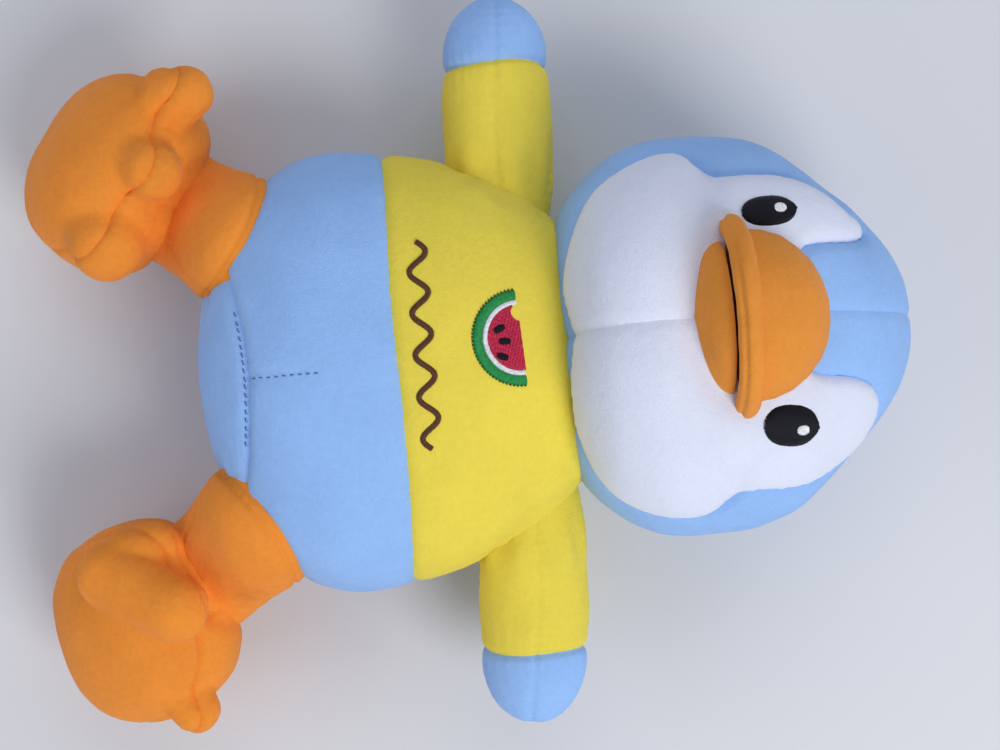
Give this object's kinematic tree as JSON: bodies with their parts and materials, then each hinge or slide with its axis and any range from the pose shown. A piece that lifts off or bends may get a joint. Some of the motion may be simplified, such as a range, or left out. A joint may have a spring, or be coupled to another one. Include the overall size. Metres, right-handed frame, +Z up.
{
  "type": "plush penguin",
  "caption": "Stuffed fabric penguin with a round head, open beak, yellow shirt, blue lower body, stubby arms and big orange feet, lying on its back; limbs, neck and beak flex.",
  "frame": {"origin": "Waist seam level on the centre plane, at the middle of the flat patch of the back that rests on a surface.", "axes": "+X the penguin's left, +Y from seat to head, +Z up out of the belly."},
  "size_m": [0.2941, 0.3557, 0.1518],
  "materials": {
    "blue_fabric": "matte",
    "yellow_fabric": "matte",
    "white_fabric": "matte",
    "orange_fabric": "matte",
    "mouth_fabric": "matte",
    "stuffing": "matte",
    "black_thread": "matte",
    "white_thread": "matte",
    "green_thread": "matte",
    "red_thread": "matte",
    "brown_thread": "matte",
    "blue_thread": "matte"
  },
  "bodies": {
    "torso": {"torso_stuffing": "stuffing", "shirt_front": "yellow_fabric", "shirt_back": "yellow_fabric", "lower_body_front": "blue_fabric", "lower_body_back": "blue_fabric", "seat_panel": "blue_fabric", "slice_rind": "green_thread", "slice_pith": "white_thread", "slice_flesh": "red_thread", "slice_seeds": "black_thread", "chest_wave_embroidery": "brown_thread", "seat_seam_stitches": "blue_thread", "belly_dart_stitches": "blue_thread"},
    "neck": {"neck_tube": "blue_fabric", "neck_stuffing": "stuffing", "neck_seam_ring": "blue_fabric"},
    "head": {"head_stuffing": "stuffing", "hood_left": "blue_fabric", "hood_right": "blue_fabric", "face_panel_left": "white_fabric", "face_panel_right": "white_fabric", "left_eye": "black_thread", "right_eye": "black_thread", "left_eye_highlight": "white_thread", "right_eye_highlight": "white_thread", "upper_beak": "orange_fabric", "beak_stuffing": "stuffing", "beak_lip": "orange_fabric", "mouth_lining": "mouth_fabric"},
    "lower_beak": {"lower_beak": "orange_fabric", "lower_beak_stuffing": "stuffing"},
    "left_arm": {"left_sleeve": "yellow_fabric", "left_hand_tip": "blue_fabric", "left_arm_stuffing": "stuffing"},
    "left_leg": {"left_leg": "orange_fabric", "left_leg_stuffing": "stuffing"},
    "left_foot": {"left_foot_upper": "orange_fabric", "left_foot_sole": "orange_fabric", "left_foot_stuffing": "stuffing"},
    "right_arm": {"right_sleeve": "yellow_fabric", "right_hand_tip": "blue_fabric", "right_arm_stuffing": "stuffing"},
    "right_leg": {"right_leg": "orange_fabric", "right_leg_stuffing": "stuffing"},
    "right_foot": {"right_foot_upper": "orange_fabric", "right_foot_sole": "orange_fabric", "right_foot_stuffing": "stuffing"}
  },
  "joints": [
    {"name": "neck_turn", "type": "hinge", "parent": "torso", "child": "neck", "pos_m": [-0.001, 0.066, 0.056], "axis": [0, 1, 0], "range_deg": [-25, 25], "stiffness_Nm_per_rad": 1.6},
    {"name": "neck_nod", "type": "hinge", "parent": "neck", "child": "head", "pos_m": [-0.001, 0.066, 0.056], "axis": [1, 0, 0], "range_deg": [-15, 15], "stiffness_Nm_per_rad": 1.8},
    {"name": "beak_flex", "type": "hinge", "parent": "head", "child": "lower_beak", "pos_m": [-0.0065, 0.113, 0.119], "axis": [1, 0, 0], "range_deg": [-4, 10], "stiffness_Nm_per_rad": 0.05},
    {"name": "left_arm_lift", "type": "hinge", "parent": "torso", "child": "left_arm", "pos_m": [0.057, 0.049, 0.048], "axis": [0, 0, 1], "range_deg": [-28, 28], "stiffness_Nm_per_rad": 0.4},
    {"name": "right_arm_lift", "type": "hinge", "parent": "torso", "child": "right_arm", "pos_m": [-0.057, 0.046, 0.048], "axis": [0, 0, -1], "range_deg": [-28, 28], "stiffness_Nm_per_rad": 0.4},
    {"name": "left_hip_swing", "type": "hinge", "parent": "torso", "child": "left_leg", "pos_m": [0.0515, -0.051, 0.058], "axis": [-0.8094, -0.5873, 0], "range_deg": [-10, 60], "stiffness_Nm_per_rad": 0.8},
    {"name": "right_hip_swing", "type": "hinge", "parent": "torso", "child": "right_leg", "pos_m": [-0.049, -0.049, 0.058], "axis": [-0.8332, 0.553, 0], "range_deg": [-10, 60], "stiffness_Nm_per_rad": 0.8},
    {"name": "left_ankle_flex", "type": "hinge", "parent": "left_leg", "child": "left_foot", "pos_m": [0.0925, -0.1075, 0.0375], "axis": [-0.8094, -0.5873, 0], "range_deg": [-35, 15], "stiffness_Nm_per_rad": 0.4},
    {"name": "right_ankle_flex", "type": "hinge", "parent": "right_leg", "child": "right_foot", "pos_m": [-0.0855, -0.104, 0.0385], "axis": [-0.8332, 0.553, 0], "range_deg": [-35, 15], "stiffness_Nm_per_rad": 0.4}
  ]
}
